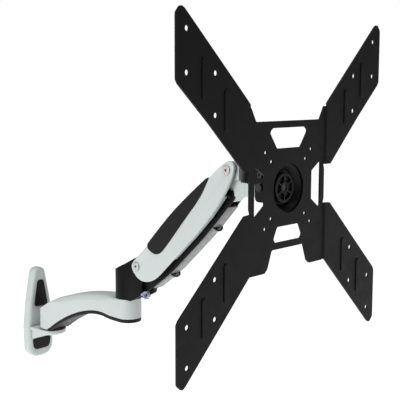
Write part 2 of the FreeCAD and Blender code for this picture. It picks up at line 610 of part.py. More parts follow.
def make_arm_2():
    part("arm_2_channel", arm_channel())
    cover = side_cover()
    part("arm_2_right_cover", cover)
    part("arm_2_left_cover", mirrored(cover))
    part("arm_2_grip", grip_saddle())
    reach = SHELL_OUT - 0.2
    heads = []
    for name, s in (("lift_pivot_pin", 0), ("tip_pivot_pin", ARM_2_LENGTH)):
        y, z = along_arm(s, 0)
        part(name, rod_x(y, z, PIN_R, -reach, reach))
        for side in (-1, 1):
            heads.append(socket_screw_x(y, z, PIVOT_HEAD_R, side * (SHELL_OUT + 0.02),
                                        side * (SHELL_OUT + 1.7),
                                        2.2, 1.4))
    part("pivot_screw_heads", *heads)
    y, z = along_arm(SPRING_TOP_S, SPRING_TOP_H)
    part("spring_top_pin", rod_x(y, z, 3.5, -CHANNEL_IN - CHANNEL_WALL, CHANNEL_IN + CHANNEL_WALL))


# ---------------------------------------------------------------- lower link
LOW_EDGE = [(235, -10.2, 30), (192, -14.6, 30), (160, -17.0, 30), (86, -19.0, 30), (60, -18.0, 30),
            (31, -15.2, 30)]
LOW_EDGE = stretched(LOW_EDGE)


def along_link(s, h):
    y, z = along_arm(s, h)
    return (y + LINK_SETBACK, z - LINK_DROP)


def link_channel():
    end = ARM_2_LENGTH
    outline = [(-8.5, 8.5, 8.3), (10, 8.5, 8), (26, -4, 14), (end - 24, -4, 14), (end - 11, 8.5, 8),
               (end + 8.5, 8.5, 8.3), (end + 8.5, -7.5, 8)]
    outline += LOW_EDGE + [(-8.5, -8.5, 8.3)]
    solid = side_plate(outline, -BAR_OUT, BAR_OUT, along_link)
    inside = BAR_OUT - BAR_WALL
    below = [(24, -60, 0), (24, -6.4, 0), (end - 26, -6.4, 0), (end - 26, -60, 0)]
    solid = solid.cut(side_plate(below, -inside, inside, along_link))
    for s0, s1 in ((-40, 30), (end - 32, end + 60)):
        ends = [(s0, -60, 0), (s0, 60, 0), (s1, 60, 0), (s1, -60, 0)]
        solid = solid.cut(side_plate(ends, -inside, inside, along_link))
    for s in (0, ARM_2_LENGTH):
        y, z = along_link(s, 0)
        solid = solid.cut(rod_x(y, z, PIN_R - 1 + RUN_GAP, -30, 30))
    return solid.removeSplitter()


def edge_height(s):
    """Height of the link's lower edge above its pivot line, at s along it."""
    points = sorted(LOW_EDGE)
    for (s0, h0, r0), (s1, h1, r1) in zip(points, points[1:]):
        if s0 <= s <= s1:
            return h0 + (h1 - h0) * (s - s0) / (s1 - s0)
    return points[0][1] if s < points[0][0] else points[-1][1]


MOUTH_S = (ARM_2_LENGTH - 55.0, 72.0)
COVER_ENDS = (ARM_2_LENGTH - 11.0, 26.0)


def cable_cover(s_top, s_low, hooded):
    """Snap-on strip that closes the link's channel; a hood at its upper end lets a cable out."""
    steps = [s_top] + [s for s, h, r in LOW_EDGE if s_low < s < s_top] + [s_low]
    top = [(s, edge_height(s) - 0.05, 20) for s in steps]
    low = [(s, h - CABLE_SKIN, r) for s, h, r in reversed(top)]
    strip = side_plate(top + low, -BAR_OUT + 0.3, BAR_OUT - 0.3, along_link)
    legs = side_plate([(s, h + 4.0, r) for s, h, r in top] + low, 5.9, 7.4, along_link)
    strip = strip.fuse([legs, mirrored(legs)])
    if hooded:
        base = edge_height(s_top)
        hood = hood_solid(s_top, base, 10.0, 8.0, 22.0)
        strip = strip.fuse(hood).cut(hood_solid(s_top + 0.5, base + 0.6, 8.4, 7.2, 18.5))
    return strip.removeSplitter()


def hood_solid(s, h, half_w, deep, length):
    """Half an elliptical cone whose mouth is square to the link and faces up the arm."""
    big = ellipse_at(s, h, half_w, deep)
    small = ellipse_at(s - length, h + 1.0, half_w * 0.55, 0.9)
    return Part.makeLoft([big, small], True, True)


def ellipse_at(s, h, half_w, deep):
    y, z = along_link(s, h)
    down = Vector(0, -sin(RISE), -cos(RISE))
    centre = Vector(0, y, z)
    points = [centre.add(Vector(half_w * cos(k * pi / 12), 0,
                                0)).add(Vector(down).multiply(deep * sin(k * pi / 12)))
              for k in range(24)]
    return Part.makePolygon(points + [points[0]])


def guide_ring(s):
    """Black lip round the mouth of one hood."""
    base = edge_height(s)
    outer = Part.makeLoft([ellipse_at(s + 1.4, base, 10.2, 8.5), ellipse_at(s + 0.1, base, 10.2, 8.5)],
                          True, True)
    inner = Part.makeLoft([ellipse_at(s + 3, base, 8.4, 6.6), ellipse_at(s - 3, base, 8.4, 6.6)], True,
                          True)
    above = [(s - 5, base + 0.3, 0), (s + 5, base + 0.3, 0), (s + 5, base + 20, 0), (s - 5, base + 20, 0)]
    return outer.cut(inner).cut(side_plate(above, -BAR_OUT - 1, BAR_OUT + 1, along_link))


def make_lower_link():
    channel = link_channel()
    rings = [guide_ring(s) for s in MOUTH_S]
    part("lower_link", channel)
    ends = [(COVER_ENDS[0], MOUTH_S[0] + 2.0, False), (MOUTH_S[0], MOUTH_S[1] + 2.0, True),
            (MOUTH_S[1], COVER_ENDS[1], True)]
    for name, (s_top, s_low, hooded) in zip(("front", "middle", "rear"), ends):
        strip = cable_cover(s_top, s_low, hooded).cut(channel)
        for ring in rings:
            strip = strip.cut(ring)
        part("cable_cover_" + name, strip)
    part("cable_guide_rings", *[ring.cut(channel) for ring in rings])


# ---------------------------------------------------------------- gas spring
SPRING_HEAD = along_arm(SPRING_TOP_S, SPRING_TOP_H)
SPRING_LONG = hypot(SPRING_HEAD[0] - LIFT_Y, SPRING_HEAD[1] - ANCHOR_Z)
SPRING_DIR = Vector(0, (LIFT_Y - SPRING_HEAD[0]) / SPRING_LONG, (ANCHOR_Z - SPRING_HEAD[1]) / SPRING_LONG)


def on_spring(distance):
    """Point on the spring's axis, measured from its head pin towards its anchor pin."""
    return Vector(0, *SPRING_HEAD).add(Vector(SPRING_DIR).multiply(distance))


def spring_rod(start, stop, r):
    return Part.makeCylinder(r, stop - start, on_spring(start), SPRING_DIR)


def make_gas_spring():
    tube_end = 9.0 + TUBE_SHARE * SPRING_LONG
    head_y, head_z = SPRING_HEAD
    eye = rod_x(head_y, head_z, 8.0, -5, 5).fuse(spring_rod(4, 12, 5.0))
    tube = spring_rod(9, tube_end, TUBE_R).fuse(eye)
    tube = tube.cut(spring_rod(13, tube_end + 1, TUBE_R - 1.5))
    tube = tube.cut(rod_x(head_y, head_z, 3.5 + RUN_GAP, -9, 9))
    part("gas_spring_tube", tube.removeSplitter())
    gland = spring_rod(tube_end - 9, tube_end,
                       TUBE_R - 1.5).cut(spring_rod(0, tube_end + 9, ROD_R + RUN_GAP))
    part("gas_spring_gland", gland)
    rod = spring_rod(tube_end - 50, SPRING_LONG - 9, ROD_R)
    part("gas_spring_rod", rod)
    piston = spring_rod(tube_end - 58, tube_end - 50, TUBE_R - 1.6)
    part("gas_spring_piston", piston)
    eye_r = ANCHOR_PIN_R + EYE_PLAY
    eye = rod_x(LIFT_Y, ANCHOR_Z, eye_r + 3.2, -4.5,
                4.5).fuse(spring_rod(SPRING_LONG - 16, SPRING_LONG - 7, 5.0))
    eye = eye.cut(rod_x(LIFT_Y, ANCHOR_Z, eye_r, -9, 9)).cut(rod)
    part("gas_spring_rod_eye", eye.removeSplitter())


# ---------------------------------------------------------------- head
HEAD_POST_R = 6.0
HEAD_BUSH_WALL = 1.5
HEAD_LINK_Y = TIP_Y + LINK_SETBACK
HEAD_LINK_Z = TIP_Z - LINK_DROP
TONGUE = BAR_OUT - BAR_WALL - 0.4
NECK_HALF = 13.5
BRACKET_TOP = TIP_Z + 12.0
YOKE_TOP = LEDGE_OF_HEAD_Z + 27.0
POST_TOP = YOKE_TOP + 1.0


def head_bracket():
    wall_y = HEAD_Y + BRACKET_R + 0.2
    upper = side_plate([(TIP_Y + 11.5, TIP_Z - 11.5, 9), (TIP_Y + 11.5, TIP_Z + 11.5, 9),
                        (wall_y, BRACKET_TOP, 3),
                        (wall_y, TIP_Z - 14, 0)], -CHEEK_OUT + 0.3, CHEEK_OUT - 0.3)
    ledge = rod_z(0, HEAD_Y, BRACKET_R, BRACKET_LOW_Z, LEDGE_OF_HEAD_Z)
    neck = side_plate([(HEAD_Y, BRACKET_LOW_Z, 0), (HEAD_Y, LEDGE_OF_HEAD_Z, 0),
                       (wall_y, LEDGE_OF_HEAD_Z, 0),
                       (wall_y, TIP_Z - 4, 0), (TIP_Y + 9, TIP_Z - 4, 4),
                       (HEAD_LINK_Y + 8, HEAD_LINK_Z + 12, 6),
                       (wall_y + 8, BRACKET_LOW_Z - 3, 10)], -NECK_HALF, NECK_HALF)
    clear = side_plate([(HEAD_LINK_Y + 20, HEAD_LINK_Z - 20, 0), (HEAD_LINK_Y - 12, HEAD_LINK_Z - 20, 0),
                        (HEAD_LINK_Y - 12, HEAD_LINK_Z + 16, 10), (HEAD_LINK_Y + 20, HEAD_LINK_Z + 16, 0)],
                       TONGUE, 40)
    tongue = side_plate([(HEAD_LINK_Y + 8, HEAD_LINK_Z - 8, 7.9), (HEAD_LINK_Y + 8, TIP_Z - 6, 4),
                         (wall_y + 2, TIP_Z - 6, 0), (wall_y + 2, BRACKET_LOW_Z + 1, 0),
                         (HEAD_LINK_Y - 6, HEAD_LINK_Z - 8, 7)], -TONGUE, TONGUE)
    solid = upper.fuse([ledge, neck.cut(clear).cut(mirrored(clear)), tongue]).removeSplitter()
    solid = solid.cut(rod_x(TIP_Y, TIP_Z, PIN_R + 1.2, -40, 40))
    solid = solid.cut(rod_x(HEAD_LINK_Y, HEAD_LINK_Z, PIN_R - 1, -40, 40))
    return solid.cut(rod_z(0, HEAD_Y, HEAD_POST_R, BRACKET_LOW_Z - 1, LEDGE_OF_HEAD_Z + 1)).removeSplitter()


def swivel_yoke():
    barrel_low = LEDGE_OF_HEAD_Z + 0.4
    barrel = rod_z(0, HEAD_Y, YOKE_R, barrel_low, YOKE_TOP)
    front = TILT_Y - TILT_EAR_R
    block = box(-YOKE_EAR_OUT, YOKE_EAR_OUT, HEAD_Y - 18.5, HEAD_Y, barrel_low, YOKE_TOP)
    ears = side_plate([(HEAD_Y - 14.5, HUB_Z - TILT_EAR_R, 3), (HEAD_Y - 14.5, YOKE_TOP, 0),
                       (TILT_Y + 1, YOKE_TOP, 6),
                       (front + 3, HUB_Z + LOCK_RADIUS + 5, 4), (front, HUB_Z, 7),
                       (front, HUB_Z - TILT_EAR_R, 7.5)],
                      -YOKE_EAR_OUT, YOKE_EAR_OUT)
    gap = box(-YOKE_EAR_IN, YOKE_EAR_IN, front - 5, HEAD_Y - 18.5, HUB_Z - 20, YOKE_TOP + 5)
    under = box(-YOKE_EAR_IN, YOKE_EAR_IN, HEAD_Y - 18.6, HEAD_Y - 5, HUB_Z - 20, barrel_low)
    solid = barrel.fuse([block, ears.cut(gap).cut(under)]).removeSplitter()
    solid = solid.cut(rod_z(0, HEAD_Y, BRACKET_R + 0.3, HUB_Z - 20, barrel_low))
    solid = solid.cut(rod_z(0, HEAD_Y, HEAD_POST_R + HEAD_BUSH_WALL, barrel_low - 1, YOKE_TOP + 1))
    solid = solid.cut(rod_x(TILT_Y, HUB_Z, 3.0, -30, 30))
    solid = solid.cut(rod_x(TILT_Y, HUB_Z + LOCK_RADIUS, 2.5, -30, 30))
    return solid.removeSplitter()


def make_head():
    part("head_bracket", head_bracket())
    half = CHEEK_OUT - 0.3
    bushes = [ring_x(TIP_Y, TIP_Z, PIN_R + RUN_GAP, PIN_R + 1.2, x0, x0 + 8) for x0 in (-half, half - 8)]
    part("tip_pivot_bushes", *bushes)
    part("lower_link_front_pin", rod_x(HEAD_LINK_Y, HEAD_LINK_Z, PIN_R - 1, -BAR_OUT - 1, BAR_OUT + 1))
    post = rod_z(0, HEAD_Y, HEAD_POST_R, BRACKET_LOW_Z + 2, POST_TOP)
    part("head_post", post.cut(rod_z(0, HEAD_Y, 2.5, POST_TOP - 14, POST_TOP + 1)))
    part("head_post_washer", ring_z(HEAD_Y, 2.6, 12.0, POST_TOP, POST_TOP + 1.5))
    screw = rod_z(0, HEAD_Y, 2.5, POST_TOP - 13, POST_TOP + 1.5)
    head = rod_z(0, HEAD_Y, 4.8, POST_TOP + 1.5, POST_TOP + 4.3)
    socket = hexagon_z(HEAD_Y, 3.4, POST_TOP + 2.6, POST_TOP + 5)
    part("head_post_screw", screw.fuse(head).cut(socket).removeSplitter())


def make_yoke():
    part("swivel_yoke", swivel_yoke())
    part("head_swivel_bush", ring_z(HEAD_Y, HEAD_POST_R + RUN_GAP, HEAD_POST_R + HEAD_BUSH_WALL,
                                    LEDGE_OF_HEAD_Z + 0.1, YOKE_TOP + 0.9))
    out = TILT_CHEEK_OUT
    bolt = rod_x(TILT_Y, HUB_Z, 3.0, -out - 1.1, out + 4.2)
    part("tilt_bolt", bolt.fuse(hexagon_x(TILT_Y, HUB_Z, 10.0, -out - 5.1, -out - 1.1)).removeSplitter())
    part("tilt_nut", hexagon_x(TILT_Y, HUB_Z, 10.0, out + 1.1,
                               out + 5.2).cut(rod_x(TILT_Y, HUB_Z, 3.0, 0, 40)))
    part("tilt_washers", ring_x(TILT_Y, HUB_Z, 3.1, 6.5, -out - 1.1, -out - 0.05),
         ring_x(TILT_Y, HUB_Z, 3.1, 6.5, out + 0.05, out + 1.1))
    lock_z = HUB_Z + LOCK_RADIUS
    screws = []
    for side in (-1, 1):
        shank = rod_x(TILT_Y, lock_z, 2.5, min(side * 12.6, side * (out + 0.1)),
                      max(side * 12.6, side * (out + 0.1)))
        screws.append(shank.fuse(socket_screw_x(TILT_Y, lock_z, 4.4, side * (out + 0.1),
                                                side * (out + 3.0), 1.7, 1.6)))
    part("tilt_lock_screws", *screws)


def hexagon_x(y, z, across, x0, x1):
    r = across / 2 / cos(pi / 6)
    points = [Vector(x0, y + r * cos(k * pi / 3), z + r * sin(k * pi / 3)) for k in range(7)]
    return Part.Face(Part.makePolygon(points)).extrude(Vector(x1 - x0, 0, 0))


# ---------------------------------------------------------------- tilt bracket and rotation joint
TILT_PLATE_FRONT = PLATE_Y + 15.0
TILT_PLATE_BACK = TILT_PLATE_FRONT + 3.0
DISH_FLOOR_FRONT = PLATE_Y + 12.0
DISH_SHEET = 2.0
WASHER = TILT_PLATE_FRONT - DISH_FLOOR_FRONT - DISH_SHEET
KNOB_FRONT = PLATE_Y + 6.5
KNOB_BACK = DISH_FLOOR_FRONT - WASHER


def arc_slot(radius, half_w, half_angle):
    """Curved slot about the tilt axis, centred straight above it."""
    ring = rod_x(TILT_Y, HUB_Z, radius + half_w, -30,
                 30).cut(rod_x(TILT_Y, HUB_Z, radius - half_w, -31, 31))
    reach = radius + 3 * half_w
    turn = radians(half_angle)
    wedge = side_plate([(TILT_Y, HUB_Z, 0), (TILT_Y - reach * sin(turn), HUB_Z + reach * cos(turn), 0),
                        (TILT_Y + reach * sin(turn), HUB_Z + reach * cos(turn), 0)], -30, 30)
    slot = ring.common(wedge)
    for way in (-1, 1):
        slot = slot.fuse(rod_x(TILT_Y + way * radius * sin(turn), HUB_Z + radius * cos(turn), half_w, -30,
                               30))
    return slot.removeSplitter()


def tilt_bracket():
    half_z = 20.5
    cheek = side_plate([(TILT_PLATE_FRONT, HUB_Z - half_z, 0), (TILT_Y + 9, HUB_Z - half_z, 6),
                        (TILT_Y + 10, HUB_Z, 9), (TILT_Y + 10, HUB_Z + half_z + 4.5, 8),
                        (TILT_Y - 8, HUB_Z + half_z + 4.5, 6), (TILT_PLATE_FRONT, HUB_Z + half_z, 0)],
                       TILT_CHEEK_IN, TILT_CHEEK_OUT)
    face = front_plate([(-TILT_CHEEK_OUT, HUB_Z - half_z, 2), (-TILT_CHEEK_OUT, HUB_Z + half_z, 2),
                        (TILT_CHEEK_OUT, HUB_Z + half_z, 2), (TILT_CHEEK_OUT, HUB_Z - half_z, 2)],
                       TILT_PLATE_FRONT, TILT_PLATE_BACK)
    solid = cheek.fuse([mirrored(cheek), face]).removeSplitter()
    solid = solid.cut(rod_x(TILT_Y, HUB_Z, 3.0 + RUN_GAP, -40, 40))
    solid = solid.cut(arc_slot(LOCK_RADIUS, 2.75, TILT_HALF_RANGE + 1.0))
    return solid.cut(rod_y(0, HUB_Z, STUD_R, TILT_PLATE_FRONT - 1, TILT_PLATE_BACK + 1)).removeSplitter()


def rotation_knob():
    """Six-spoked hand nut."""
    knob = rod_y(0, HUB_Z, KNOB_R, KNOB_FRONT, KNOB_BACK)
    knob = fillet(knob, 0.8, lambda e: on_plane(e, "Y", KNOB_FRONT) and e.Length > 100)
    pocket = ring_y(HUB_Z, 8.0, 16.4, KNOB_FRONT - 1, KNOB_FRONT + 3.4)
    for k in range(6):
        spoke = box(-1.1, 1.1, KNOB_FRONT - 2, KNOB_BACK, HUB_Z, HUB_Z + 20)
        spoke.rotate(Vector(0, 0, HUB_Z), Vector(0, 1, 0), 60 * k)
        pocket = pocket.cut(spoke)
    return knob.cut(pocket).cut(rod_y(0, HUB_Z, 5.0, KNOB_FRONT - 1, KNOB_BACK + 1))


def make_tilt():
    part("tilt_bracket", tilt_bracket())
    stud = rod_y(0, HUB_Z, 12.0, TILT_PLATE_BACK, TILT_PLATE_BACK + 3.5)
    stud = stud.fuse([rod_y(0, HUB_Z, STUD_R, KNOB_BACK, TILT_PLATE_BACK),
                      rod_y(0, HUB_Z, 5.0, KNOB_FRONT + 1.2, KNOB_BACK)]).removeSplitter()
    part("rotation_stud", stud)
    part("rotation_knob", rotation_knob())
    part("rotation_friction_washers",
         ring_y(HUB_Z, STUD_R + 0.1, 19.5, KNOB_BACK + 0.02, DISH_FLOOR_FRONT - 0.05),
         ring_y(HUB_Z, STUD_R + 0.1, 19.5, DISH_FLOOR_FRONT + DISH_SHEET + 0.05, TILT_PLATE_FRONT - 0.02))


# ---------------------------------------------------------------- TV plate
MIDDLE_RIGHT = [(70, 90, 3), (79, 106, 4), (80.5, 108, 0), (80.5, 27, 0), (82.5, 20, 3), (82.5, -21, 3),
                (80.5, -27, 0), (80.5, -109, 0), (50, -109, 4), (44, -104, 4), (35, -80, 3)]
UPPER_WING = [(84.0, 27.2, 0), (95, 27.2, 2), (WING_HALF_W - 54, WING_TOP - 134, 30),
              (WING_HALF_W - 3, WING_TOP - 89, 4), (WING_HALF_W, WING_TOP - 84, 4),
              (WING_HALF_W, WING_TOP - 9, 7),
              (WING_HALF_W - 8, WING_TOP, 7), (WING_HALF_W - 15, WING_TOP - 4, 5), (89, 117, 6),
              (84.0, 112, 0)]
LOWER_WING = [(84.0, -27.2, 0), (84.0, -108.2, 0), (WING_HALF_W - 15, 4 - WING_TOP, 5),
              (WING_HALF_W - 9, -WING_TOP, 7), (WING_HALF_W, 8 - WING_TOP, 7),
              (WING_HALF_W, 82 - WING_TOP, 4),
              (WING_HALF_W - 3, 87 - WING_TOP, 4), (WING_HALF_W - 54, 134 - WING_TOP, 30), (95, -28, 2)]
RIBS = ((171, 144, 50), (130, 106, 51), (130, -108, 50), (171, -145, 51))
RIB_WIDE = 8.5
RIB_PROUD = 1.5


def at_hub(points, flip=1):
    return [(flip * a, HUB_Z + b, r) for a, b, r in points]


def stadium(x, z, wide, long, y0, y1):
    """Upright slot shape with round ends, in the front view."""
    r = wide / 2
    straight = long / 2 - r
    body = box(x - r, x + r, y0, y1, z - straight, z + straight)
    return body.fuse([rod_y(x, z - straight, r, y0, y1),
                      rod_y(x, z + straight, r, y0, y1)]).removeSplitter()


def joggle(z0, z1):
    """Sheet ramp between the middle of the plate and one wing, on the right-hand side."""
    x0 = 80.5
    x1 = 84.0
    step = [Vector(x0, PLATE_Y, HUB_Z + z0), Vector(x0, PLATE_Y + SHEET, HUB_Z + z0),
            Vector(x1, PLATE_Y + SHEET - WING_STEP, HUB_Z + z0),
            Vector(x1, PLATE_Y - WING_STEP, HUB_Z + z0)]
    return Part.Face(Part.makePolygon(step + [step[0]])).extrude(Vector(0, 0, z1 - z0))


def rib_side(x, z, long):
    """Pressed rib: a ridge on the front and its hollow behind."""
    face = PLATE_Y - WING_STEP
    ridge = stadium(x, z, RIB_WIDE, long, face - RIB_PROUD, face)
    ridge = fillet(ridge, 1.1, lambda e: on_plane(e, "Y", face - RIB_PROUD))
    hollow = stadium(x, z, RIB_WIDE - 3.4, long - 3.4, face + SHEET - 1.4, face + SHEET + 1)
    return ridge, hollow


def x_plate():
    half = MIDDLE_RIGHT
    other = [(-a, b, r) for a, b, r in reversed(half)]
    middle = front_plate(at_hub(half + other), PLATE_Y, PLATE_Y + SHEET)
    front = PLATE_Y - WING_STEP
    wings = [front_plate(at_hub(UPPER_WING), front, front + SHEET),
             front_plate(at_hub(LOWER_WING), front, front + SHEET), joggle(27.2, 108.0),
             joggle(-108.2, -27.2)]
    solid = middle.fuse(wings + [mirrored(wing) for wing in wings]).removeSplitter()
    for x, z, long in RIBS:
        ridge, hollow = rib_side(x, HUB_Z + z, long)
        solid = solid.fuse([ridge, mirrored(ridge)]).cut(hollow).cut(mirrored(hollow))
    cuts = [rod_y(0, HUB_Z, HUB_HOLE_R, front - 2, PLATE_Y + 9)]
    cuts.append(front_plate(at_hub([(-35, 81, 4), (35, 81, 4), (42, 76, 4), (26, 54, 3), (-26, 54, 3),
                                    (-42, 76, 4)]), front, PLATE_Y + 9))
    cuts.append(front_plate(at_hub([(-24, -50, 3), (24, -50, 3), (32, -66, 4), (28, -71, 4), (-28, -71, 4),
                                    (-32, -66, 4)]), front, PLATE_Y + 9))
    for flip in (-1, 1):
        side = [(52, 20, 3), (69, 31, 1.5), (73, 31, 1.5), (73, -31, 1.5), (69, -31, 1.5), (52, -19, 3)]
        cuts.append(front_plate(at_hub(side, flip), front, PLATE_Y + 9))
    for places, radius in ((VESA_WING, VESA_HOLE_R), (VESA_CENTRE, CENTRE_HOLE_R)):
        for x, z in places:
            for sx in (-1, 1):
                for sz in (-1, 1):
                    cuts.append(rod_y(sx * x, HUB_Z + sz * z, radius, front - 3, PLATE_Y + 9))
    for cut in cuts:
        solid = solid.cut(cut)
    return solid.removeSplitter()


def hub_dish():
    """Pressed dish behind the plate's middle hole; its floor turns on the rotation stud."""
    floor_back = DISH_FLOOR_FRONT + DISH_SHEET
    back = PLATE_Y + SHEET
    profile = [(30.5, back), (42, back), (42, back + DISH_SHEET), (32.5, back + DISH_SHEET),
               (DISH_FLOOR_R + 2.5, floor_back), (STUD_R + RUN_GAP, floor_back),
               (STUD_R + RUN_GAP, DISH_FLOOR_FRONT),
               (DISH_FLOOR_R + 0.9, DISH_FLOOR_FRONT)]
    points = [Vector(r, y, HUB_Z) for r, y in profile]
    face = Part.Face(Part.makePolygon(points + [points[0]]))
    return face.revolve(Vector(0, 0, HUB_Z), Vector(0, 1, 0), 360)


def make_plate():
    part("tv_plate", x_plate())
    part("hub_dish", hub_dish())


def main():
    for make in (make_wall, make_arm_1, make_elbow, make_arm_2, make_lower_link, make_gas_spring, make_head,
                 make_yoke, make_tilt, make_plate):
        make()
    os.makedirs("parts", exist_ok=True)
    for name, shape in PARTS.items():
        print(name, "valid" if shape.isValid() else "INVALID", len(shape.Solids), "solids",
              round(shape.Volume), "mm3")
        shape.exportStep("parts/" + name + ".step")


main()
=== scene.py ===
import json
import math

import bmesh
import bpy
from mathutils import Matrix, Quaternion, Vector

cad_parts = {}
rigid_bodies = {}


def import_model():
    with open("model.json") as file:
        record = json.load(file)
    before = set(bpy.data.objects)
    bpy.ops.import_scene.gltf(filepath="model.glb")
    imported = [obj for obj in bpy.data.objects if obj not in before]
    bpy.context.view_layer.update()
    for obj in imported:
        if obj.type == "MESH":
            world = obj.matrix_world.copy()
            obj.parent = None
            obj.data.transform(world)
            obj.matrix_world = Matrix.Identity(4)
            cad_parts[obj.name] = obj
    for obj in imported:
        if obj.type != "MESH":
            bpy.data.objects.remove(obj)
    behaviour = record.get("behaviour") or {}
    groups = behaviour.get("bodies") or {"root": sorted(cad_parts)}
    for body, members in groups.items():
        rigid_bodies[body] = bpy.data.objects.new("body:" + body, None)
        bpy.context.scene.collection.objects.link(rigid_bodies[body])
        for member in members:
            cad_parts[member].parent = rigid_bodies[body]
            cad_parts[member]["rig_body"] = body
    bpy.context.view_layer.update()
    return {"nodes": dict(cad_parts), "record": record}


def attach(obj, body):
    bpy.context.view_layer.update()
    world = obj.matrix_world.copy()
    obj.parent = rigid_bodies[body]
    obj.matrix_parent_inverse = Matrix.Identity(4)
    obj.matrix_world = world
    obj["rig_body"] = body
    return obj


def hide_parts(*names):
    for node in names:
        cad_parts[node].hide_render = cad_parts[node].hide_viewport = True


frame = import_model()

MM = 0.001


# ------------------------------------------------------------------ node helpers
class Shader:
    """Small builder for one procedural material."""

    def __init__(self, name):
        self.material = bpy.data.materials.new(name)
        self.material.use_nodes = True
        self.tree = self.material.node_tree
        self.bsdf = self.tree.nodes["Principled BSDF"]
        self.where = self.tree.nodes.new("ShaderNodeTexCoord").outputs["Object"]

    def link(self, a, b):
        self.tree.links.new(a, b)

    def node(self, kind, **values):
        made = self.tree.nodes.new(kind)
        for key, value in values.items():
            setattr(made, key, value)
        return made

    def noise(self, scale, detail=3.0, rough=0.55, stretch=None):
        made = self.node("ShaderNodeTexNoise")
        made.inputs["Scale"].default_value = scale
        made.inputs["Detail"].default_value = detail
        made.inputs["Roughness"].default_value = rough
        source = self.where
        if stretch:
            mapping = self.node("ShaderNodeMapping")
            mapping.inputs["Scale"].default_value = stretch
            self.link(self.where, mapping.inputs["Vector"])
            source = mapping.outputs["Vector"]
        self.link(source, made.inputs["Vector"])
        return made.outputs["Fac"]

    def ranged(self, value, low, high, from_low=0.3, from_high=0.7):
        made = self.node("ShaderNodeMapRange")
        made.inputs["From Min"].default_value = from_low
        made.inputs["From Max"].default_value = from_high
        made.inputs["To Min"].default_value = low
        made.inputs["To Max"].default_value = high
        self.link(value, made.inputs["Value"])
        return made.outputs["Result"]

    def blend(self, fac, a, b):
        made = self.node("ShaderNodeMix", data_type="RGBA")
        self.link(fac, made.inputs[0])
        for socket, colour in ((made.inputs[6], a), (made.inputs[7], b)):
            if isinstance(colour, tuple):
                socket.default_value = (*colour, 1.0)
            else:
                self.link(colour, socket)
        return made.outputs[2]

    def painted_corner_shade(self, distance):
        """Painted shade mask: 1 in the open, lower in corners and gaps."""
        made = self.node("ShaderNodeAmbientOcclusion", samples=6)
        made.inputs["Distance"].default_value = distance
        return made.outputs["AO"]

    def bump(self, height, strength, distance, normal=None):
        made = self.node("ShaderNodeBump")
        made.inputs["Strength"].default_value = strength
        made.inputs["Distance"].default_value = distance
        self.link(height, made.inputs["Height"])
        if normal:
            self.link(normal, made.inputs["Normal"])
        return made.outputs["Normal"]

    def set(self, socket, value):
        if isinstance(value, (int, float)):
            self.bsdf.inputs[socket].default_value = value
        elif isinstance(value, tuple):
            self.bsdf.inputs[socket].default_value = (*value, 1.0)
        else:
            self.link(value, self.bsdf.inputs[socket])


def coated(name, tone, painted_shade_colour, grain, depth, rough, coat=0.0, peel=260.0, peel_depth=0.00008, shine=0.5):
    """Painted or moulded surface: fine grain over a soft orange-peel swell, with painted shade darkening
    the corners and gaps.
    """
    s = Shader(name)
    drift = s.ranged(s.noise(11.0, 4.0), 0.0, 1.0)
    colour = s.blend(drift, tone, tuple(c * 0.955 for c in tone))
    speck = s.ranged(s.noise(grain * 0.45, 2.0), 0.0, 0.22, 0.52, 0.78)
    colour = s.blend(speck, colour, tuple(min(1.0, c * 1.18 + 0.004) for c in tone))
    # painted shade: corners and gaps blend towards the shade colour
    unshaded = s.ranged(s.painted_corner_shade(0.006), 0.0, 1.0, 0.25, 0.85)
    s.set("Base Color", s.blend(unshaded, painted_shade_colour, colour))
    smudge = s.noise(46.0, 5.0, 0.62)
    s.set("Roughness", s.ranged(smudge, rough - 0.05, rough + 0.07))
    swell = s.bump(s.noise(peel, 1.5), 0.5, peel_depth)
    s.set("Normal", s.bump(s.noise(grain, 2.0, 0.6), 0.55, depth, swell))
    s.set("Specular IOR Level", shine)
    if coat:
        s.set("Coat Weight", coat)
        s.set("Coat Roughness", 0.18)
    return s.material


def metal(name, tone, rough, stretch):
    """Plated or turned steel with fine tool lines along one axis, and painted shade darkening its crevices.
    """
    s = Shader(name)
    lines = s.noise(900.0, 4.0, 0.7, stretch)
    stain = s.ranged(s.noise(120.0, 4.0), 0.0, 1.0)
    colour = s.blend(stain, tone, tuple(c * 0.86 for c in tone))
    # painted shade: crevices blend towards almost black
    unshaded = s.ranged(s.painted_corner_shade(0.003), 0.0, 1.0, 0.35, 0.9)
    s.set("Base Color", s.blend(unshaded, tuple(c * 0.06 for c in tone), colour))
    s.set("Metallic", 1.0)
    s.set("Roughness", s.ranged(lines, rough - 0.07, rough + 0.1))
    s.set("Normal", s.bump(lines, 0.35, 0.00003))
    return s.material


def frosted(name, tone, through, rough, tint_depth):
    """Translucent moulded plastic with a fine frosted skin."""
    s = Shader(name)
    cloud = s.ranged(s.noise(70.0, 4.0), 0.0, 1.0)
    s.set("Base Color", s.blend(cloud, tone, tuple(c * tint_depth for c in tone)))
    s.set("Transmission Weight", through)
    s.set("IOR", 1.49)
    s.set("Roughness", s.ranged(s.noise(160.0, 3.0), rough - 0.06, rough + 0.08))
    s.set("Normal", s.bump(s.noise(2100.0, 2.0), 0.4, 0.00003))
    return s.material


LIGHT = (0.570, 0.615, 0.605)
# painted shade colour that the light castings and covers take in their corners
LIGHT_PAINTED_SHADE = (0.28, 0.31, 0.31)
BLACK = (0.0055, 0.0055, 0.0058)
# painted shade colour that the black parts take in their corners
BLACK_PAINTED_SHADE = (0.002, 0.002, 0.0021)
